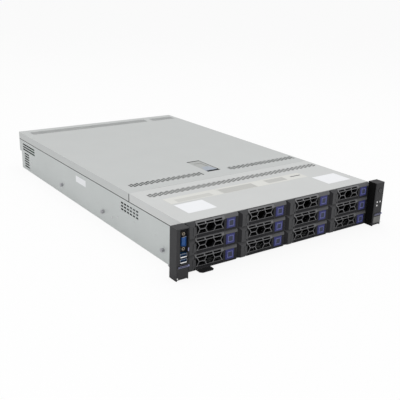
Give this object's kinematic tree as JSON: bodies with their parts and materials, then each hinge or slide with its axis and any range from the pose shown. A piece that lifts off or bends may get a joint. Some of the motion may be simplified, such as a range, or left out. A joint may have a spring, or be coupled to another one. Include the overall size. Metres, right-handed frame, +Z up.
{
  "type": "rack server",
  "caption": "Two-unit rack server: drive carriers with honeycomb eject levers in front, lift-off rear cover with latch, rack ears with flip levers, and slide-out power supplies.",
  "frame": {"origin": "centre of the whole server's footprint, on the surface it rests on", "axes": "+X to the right seen from the front, +Y towards the rear, +Z up"},
  "size_m": [0.482, 0.7566, 0.088],
  "materials": {
    "board": "lacquered",
    "button_plastic": "satin",
    "cage_steel": "plain",
    "carrier_plastic": "fine matt",
    "cover_steel": "satin light grey sheet",
    "ear_plastic": "fine matt",
    "fan_plastic": "matt",
    "fins": "extruded",
    "latch_blue": "satin",
    "latch_plastic": "satin",
    "lever_plastic": "fine matt",
    "screw_steel": "bright",
    "socket_metal": "bright",
    "supply_steel": "plain",
    "tag_plastic": "matt",
    "zinc_steel": "satin galvanised sheet"
  },
  "bodies": {
    "chassis": {"chassis_tray": "zinc_steel", "front_cover": "cover_steel", "drive_cage": "cage_steel", "left_ear": "ear_plastic", "right_ear": "ear_plastic", "fan_wall": "fan_plastic", "circuit_boards": "board", "heatsinks": "fins", "expansion_cages": "cage_steel", "port_sockets": "socket_metal", "studs_and_screws": "screw_steel"},
    "rear_cover": {"rear_cover": "cover_steel"},
    "cover_latch": {"cover_latch": "latch_plastic"},
    "information_tag": {"information_tag": "tag_plastic"},
    "left_ear_lever": {"left_ear_lever": "ear_plastic"},
    "right_ear_lever": {"right_ear_lever": "ear_plastic"},
    "power_button": {"power_button": "ear_plastic"},
    "power_supply_1": {"power_supply_1": "supply_steel"},
    "power_supply_latch_1": {"power_supply_latch_1": "latch_blue"},
    "power_supply_2": {"power_supply_2": "supply_steel"},
    "power_supply_latch_2": {"power_supply_latch_2": "latch_blue"},
    "fan_rotor_1": {"fan_rotor_1": "fan_plastic"},
    "fan_rotor_2": {"fan_rotor_2": "fan_plastic"},
    "fan_rotor_3": {"fan_rotor_3": "fan_plastic"},
    "drive_carrier_1": {"drive_carrier_1": "carrier_plastic"},
    "eject_lever_1": {"eject_lever_1": "lever_plastic"},
    "release_button_1": {"release_button_1": "button_plastic"},
    "drive_carrier_2": {"drive_carrier_2": "carrier_plastic"},
    "eject_lever_2": {"eject_lever_2": "lever_plastic"},
    "release_button_2": {"release_button_2": "button_plastic"},
    "drive_carrier_3": {"drive_carrier_3": "carrier_plastic"},
    "eject_lever_3": {"eject_lever_3": "lever_plastic"},
    "release_button_3": {"release_button_3": "button_plastic"},
    "drive_carrier_4": {"drive_carrier_4": "carrier_plastic"},
    "eject_lever_4": {"eject_lever_4": "lever_plastic"},
    "release_button_4": {"release_button_4": "button_plastic"},
    "drive_carrier_5": {"drive_carrier_5": "carrier_plastic"},
    "eject_lever_5": {"eject_lever_5": "lever_plastic"},
    "release_button_5": {"release_button_5": "button_plastic"},
    "drive_carrier_6": {"drive_carrier_6": "carrier_plastic"},
    "eject_lever_6": {"eject_lever_6": "lever_plastic"},
    "release_button_6": {"release_button_6": "button_plastic"},
    "drive_carrier_7": {"drive_carrier_7": "carrier_plastic"},
    "eject_lever_7": {"eject_lever_7": "lever_plastic"},
    "release_button_7": {"release_button_7": "button_plastic"},
    "drive_carrier_8": {"drive_carrier_8": "carrier_plastic"},
    "eject_lever_8": {"eject_lever_8": "lever_plastic"},
    "release_button_8": {"release_button_8": "button_plastic"},
    "drive_carrier_9": {"drive_carrier_9": "carrier_plastic"},
    "eject_lever_9": {"eject_lever_9": "lever_plastic"},
    "release_button_9": {"release_button_9": "button_plastic"},
    "drive_carrier_10": {"drive_carrier_10": "carrier_plastic"},
    "eject_lever_10": {"eject_lever_10": "lever_plastic"},
    "release_button_10": {"release_button_10": "button_plastic"},
    "drive_carrier_11": {"drive_carrier_11": "carrier_plastic"},
    "eject_lever_11": {"eject_lever_11": "lever_plastic"},
    "release_button_11": {"release_button_11": "button_plastic"},
    "drive_carrier_12": {"drive_carrier_12": "carrier_plastic"},
    "eject_lever_12": {"eject_lever_12": "lever_plastic"},
    "release_button_12": {"release_button_12": "button_plastic"}
  },
  "joints": [
    {"name": "rear_cover_lift", "type": "slide", "parent": "chassis", "child": "rear_cover", "axis": [0, 0, 1], "range_m": [0, 0.2]},
    {"name": "cover_latch_hinge", "type": "hinge", "parent": "rear_cover", "child": "cover_latch", "pos_m": [0, -0.06955, 0.0844], "axis": [-1, 0, 0], "range_deg": [0, 75]},
    {"name": "left_ear_lever_hinge", "type": "hinge", "parent": "chassis", "child": "left_ear_lever", "pos_m": [-0.229, -0.37275, 0.0044], "axis": [1, 0, 0], "range_deg": [0, 80]},
    {"name": "right_ear_lever_hinge", "type": "hinge", "parent": "chassis", "child": "right_ear_lever", "pos_m": [0.229, -0.37275, 0.0044], "axis": [1, 0, 0], "range_deg": [0, 80]},
    {"name": "information_tag_slide", "type": "slide", "parent": "chassis", "child": "information_tag", "axis": [0, -1, 0], "range_m": [0, 0.05]},
    {"name": "power_button_press", "type": "slide", "parent": "chassis", "child": "power_button", "axis": [0, 1, 0], "range_m": [0, 0.0015], "stiffness_N_per_m": 300},
    {"name": "power_supply_1_slide", "type": "slide", "parent": "chassis", "child": "power_supply_1", "axis": [0, 1, 0], "range_m": [0, 0.18]},
    {"name": "power_supply_latch_1_press", "type": "slide", "parent": "power_supply_1", "child": "power_supply_latch_1", "axis": [-1, 0, 0], "range_m": [0, 0.0025], "stiffness_N_per_m": 400},
    {"name": "power_supply_2_slide", "type": "slide", "parent": "chassis", "child": "power_supply_2", "axis": [0, 1, 0], "range_m": [0, 0.18]},
    {"name": "power_supply_latch_2_press", "type": "slide", "parent": "power_supply_2", "child": "power_supply_latch_2", "axis": [-1, 0, 0], "range_m": [0, 0.0025], "stiffness_N_per_m": 400},
    {"name": "drive_carrier_1_slide", "type": "slide", "parent": "chassis", "child": "drive_carrier_1", "axis": [0, -1, 0], "range_m": [0, 0.16]},
    {"name": "eject_lever_1_hinge", "type": "hinge", "parent": "drive_carrier_1", "child": "eject_lever_1", "pos_m": [-0.19715, -0.35825, 0.07265], "axis": [0, 0, -1], "range_deg": [0, 45]},
    {"name": "release_button_1_press", "type": "slide", "parent": "drive_carrier_1", "child": "release_button_1", "axis": [0, 1, 0], "range_m": [0, 0.0015], "stiffness_N_per_m": 300},
    {"name": "drive_carrier_2_slide", "type": "slide", "parent": "chassis", "child": "drive_carrier_2", "axis": [0, -1, 0], "range_m": [0, 0.16]},
    {"name": "eject_lever_2_hinge", "type": "hinge", "parent": "drive_carrier_2", "child": "eject_lever_2", "pos_m": [-0.08965, -0.35825, 0.07265], "axis": [0, 0, -1], "range_deg": [0, 45]},
    {"name": "release_button_2_press", "type": "slide", "parent": "drive_carrier_2", "child": "release_button_2", "axis": [0, 1, 0], "range_m": [0, 0.0015], "stiffness_N_per_m": 300},
    {"name": "drive_carrier_3_slide", "type": "slide", "parent": "chassis", "child": "drive_carrier_3", "axis": [0, -1, 0], "range_m": [0, 0.16]},
    {"name": "eject_lever_3_hinge", "type": "hinge", "parent": "drive_carrier_3", "child": "eject_lever_3", "pos_m": [0.01785, -0.35825, 0.07265], "axis": [0, 0, -1], "range_deg": [0, 45]},
    {"name": "release_button_3_press", "type": "slide", "parent": "drive_carrier_3", "child": "release_button_3", "axis": [0, 1, 0], "range_m": [0, 0.0015], "stiffness_N_per_m": 300},
    {"name": "drive_carrier_4_slide", "type": "slide", "parent": "chassis", "child": "drive_carrier_4", "axis": [0, -1, 0], "range_m": [0, 0.16]},
    {"name": "eject_lever_4_hinge", "type": "hinge", "parent": "drive_carrier_4", "child": "eject_lever_4", "pos_m": [0.12535, -0.35825, 0.07265], "axis": [0, 0, -1], "range_deg": [0, 45]},
    {"name": "release_button_4_press", "type": "slide", "parent": "drive_carrier_4", "child": "release_button_4", "axis": [0, 1, 0], "range_m": [0, 0.0015], "stiffness_N_per_m": 300},
    {"name": "drive_carrier_5_slide", "type": "slide", "parent": "chassis", "child": "drive_carrier_5", "axis": [0, -1, 0], "range_m": [0, 0.16]},
    {"name": "eject_lever_5_hinge", "type": "hinge", "parent": "drive_carrier_5", "child": "eject_lever_5", "pos_m": [-0.19715, -0.35825, 0.04435], "axis": [0, 0, -1], "range_deg": [0, 45]},
    {"name": "release_button_5_press", "type": "slide", "parent": "drive_carrier_5", "child": "release_button_5", "axis": [0, 1, 0], "range_m": [0, 0.0015], "stiffness_N_per_m": 300},
    {"name": "drive_carrier_6_slide", "type": "slide", "parent": "chassis", "child": "drive_carrier_6", "axis": [0, -1, 0], "range_m": [0, 0.16]},
    {"name": "eject_lever_6_hinge", "type": "hinge", "parent": "drive_carrier_6", "child": "eject_lever_6", "pos_m": [-0.08965, -0.35825, 0.04435], "axis": [0, 0, -1], "range_deg": [0, 45]},
    {"name": "release_button_6_press", "type": "slide", "parent": "drive_carrier_6", "child": "release_button_6", "axis": [0, 1, 0], "range_m": [0, 0.0015], "stiffness_N_per_m": 300},
    {"name": "drive_carrier_7_slide", "type": "slide", "parent": "chassis", "child": "drive_carrier_7", "axis": [0, -1, 0], "range_m": [0, 0.16]},
    {"name": "eject_lever_7_hinge", "type": "hinge", "parent": "drive_carrier_7", "child": "eject_lever_7", "pos_m": [0.01785, -0.35825, 0.04435], "axis": [0, 0, -1], "range_deg": [0, 45]},
    {"name": "release_button_7_press", "type": "slide", "parent": "drive_carrier_7", "child": "release_button_7", "axis": [0, 1, 0], "range_m": [0, 0.0015], "stiffness_N_per_m": 300},
    {"name": "drive_carrier_8_slide", "type": "slide", "parent": "chassis", "child": "drive_carrier_8", "axis": [0, -1, 0], "range_m": [0, 0.16]},
    {"name": "eject_lever_8_hinge", "type": "hinge", "parent": "drive_carrier_8", "child": "eject_lever_8", "pos_m": [0.12535, -0.35825, 0.04435], "axis": [0, 0, -1], "range_deg": [0, 45]},
    {"name": "release_button_8_press", "type": "slide", "parent": "drive_carrier_8", "child": "release_button_8", "axis": [0, 1, 0], "range_m": [0, 0.0015], "stiffness_N_per_m": 300},
    {"name": "drive_carrier_9_slide", "type": "slide", "parent": "chassis", "child": "drive_carrier_9", "axis": [0, -1, 0], "range_m": [0, 0.16]},
    {"name": "eject_lever_9_hinge", "type": "hinge", "parent": "drive_carrier_9", "child": "eject_lever_9", "pos_m": [-0.19715, -0.35825, 0.01605], "axis": [0, 0, -1], "range_deg": [0, 45]},
    {"name": "release_button_9_press", "type": "slide", "parent": "drive_carrier_9", "child": "release_button_9", "axis": [0, 1, 0], "range_m": [0, 0.0015], "stiffness_N_per_m": 300},
    {"name": "drive_carrier_10_slide", "type": "slide", "parent": "chassis", "child": "drive_carrier_10", "axis": [0, -1, 0], "range_m": [0, 0.16]},
    {"name": "eject_lever_10_hinge", "type": "hinge", "parent": "drive_carrier_10", "child": "eject_lever_10", "pos_m": [-0.08965, -0.35825, 0.01605], "axis": [0, 0, -1], "range_deg": [0, 45]},
    {"name": "release_button_10_press", "type": "slide", "parent": "drive_carrier_10", "child": "release_button_10", "axis": [0, 1, 0], "range_m": [0, 0.0015], "stiffness_N_per_m": 300},
    {"name": "drive_carrier_11_slide", "type": "slide", "parent": "chassis", "child": "drive_carrier_11", "axis": [0, -1, 0], "range_m": [0, 0.16]},
    {"name": "eject_lever_11_hinge", "type": "hinge", "parent": "drive_carrier_11", "child": "eject_lever_11", "pos_m": [0.01785, -0.35825, 0.01605], "axis": [0, 0, -1], "range_deg": [0, 45]},
    {"name": "release_button_11_press", "type": "slide", "parent": "drive_carrier_11", "child": "release_button_11", "axis": [0, 1, 0], "range_m": [0, 0.0015], "stiffness_N_per_m": 300},
    {"name": "drive_carrier_12_slide", "type": "slide", "parent": "chassis", "child": "drive_carrier_12", "axis": [0, -1, 0], "range_m": [0, 0.16]},
    {"name": "eject_lever_12_hinge", "type": "hinge", "parent": "drive_carrier_12", "child": "eject_lever_12", "pos_m": [0.12535, -0.35825, 0.01605], "axis": [0, 0, -1], "range_deg": [0, 45]},
    {"name": "release_button_12_press", "type": "slide", "parent": "drive_carrier_12", "child": "release_button_12", "axis": [0, 1, 0], "range_m": [0, 0.0015], "stiffness_N_per_m": 300},
    {"name": "fan_rotor_1_spin", "type": "hinge", "parent": "chassis", "child": "fan_rotor_1", "pos_m": [-0.128, -0.03975, 0.045], "axis": [0, 1, 0], "continuous": true},
    {"name": "fan_rotor_2_spin", "type": "hinge", "parent": "chassis", "child": "fan_rotor_2", "pos_m": [0, -0.03975, 0.045], "axis": [0, 1, 0], "continuous": true},
    {"name": "fan_rotor_3_spin", "type": "hinge", "parent": "chassis", "child": "fan_rotor_3", "pos_m": [0.128, -0.03975, 0.045], "axis": [0, 1, 0], "continuous": true}
  ]
}
